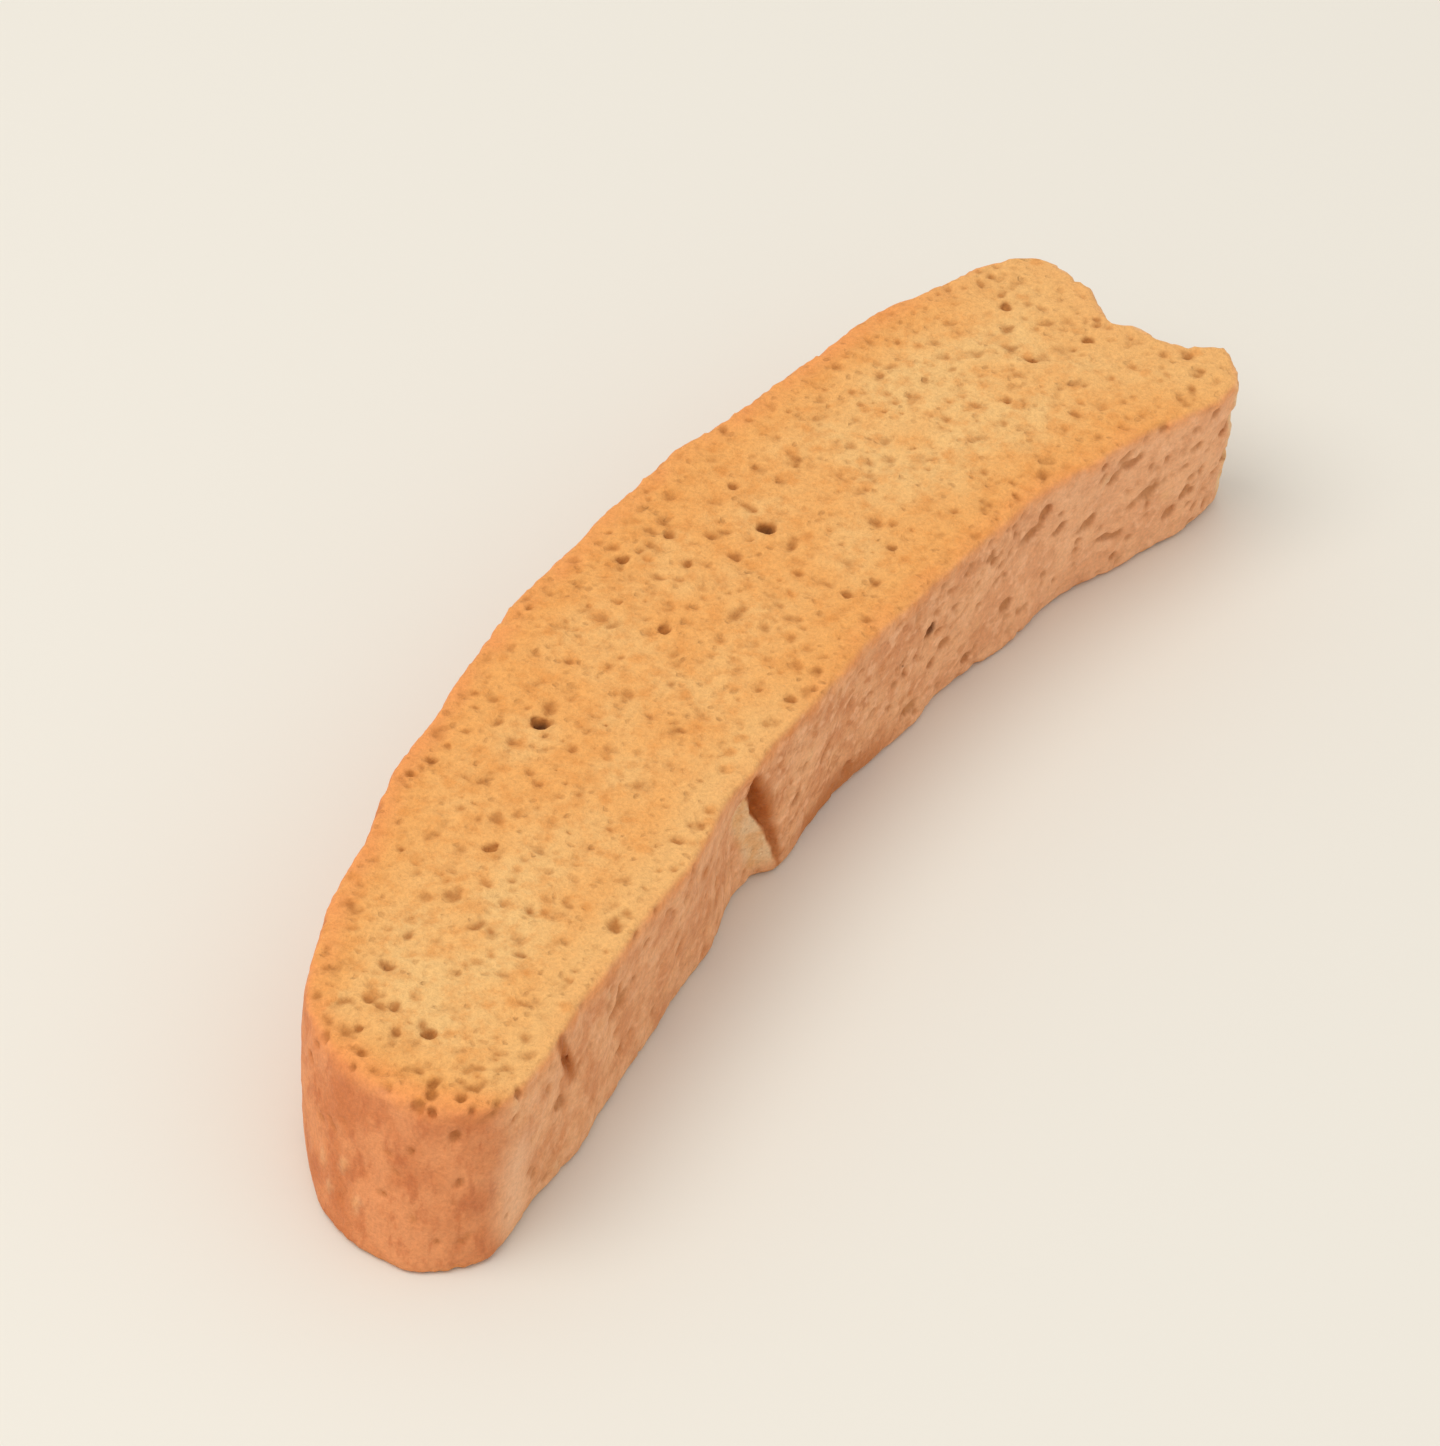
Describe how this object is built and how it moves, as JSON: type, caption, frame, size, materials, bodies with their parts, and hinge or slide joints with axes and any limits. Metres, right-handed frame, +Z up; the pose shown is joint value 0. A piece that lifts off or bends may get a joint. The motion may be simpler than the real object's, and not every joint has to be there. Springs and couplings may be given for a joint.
{
  "type": "rusk",
  "caption": "Long twice-baked rusk slice with a pitted cut face, browned crusts, one rounded end and one broken end; lies flat.",
  "frame": {"origin": "centre of the bounding box in plan, on the flat cut face that the rusk lies on", "axes": "+X along the slice from its rounded end to its broken end, +Y towards its domed crust, +Z up out of the upper cut face"},
  "size_m": [0.1286, 0.037, 0.0176],
  "materials": {
    "rusk_crumb": "dry matte baked crumb, golden tan, browner on the crusts and rims"
  },
  "bodies": {
    "root": {"rusk": "rusk_crumb"}
  },
  "joints": []
}
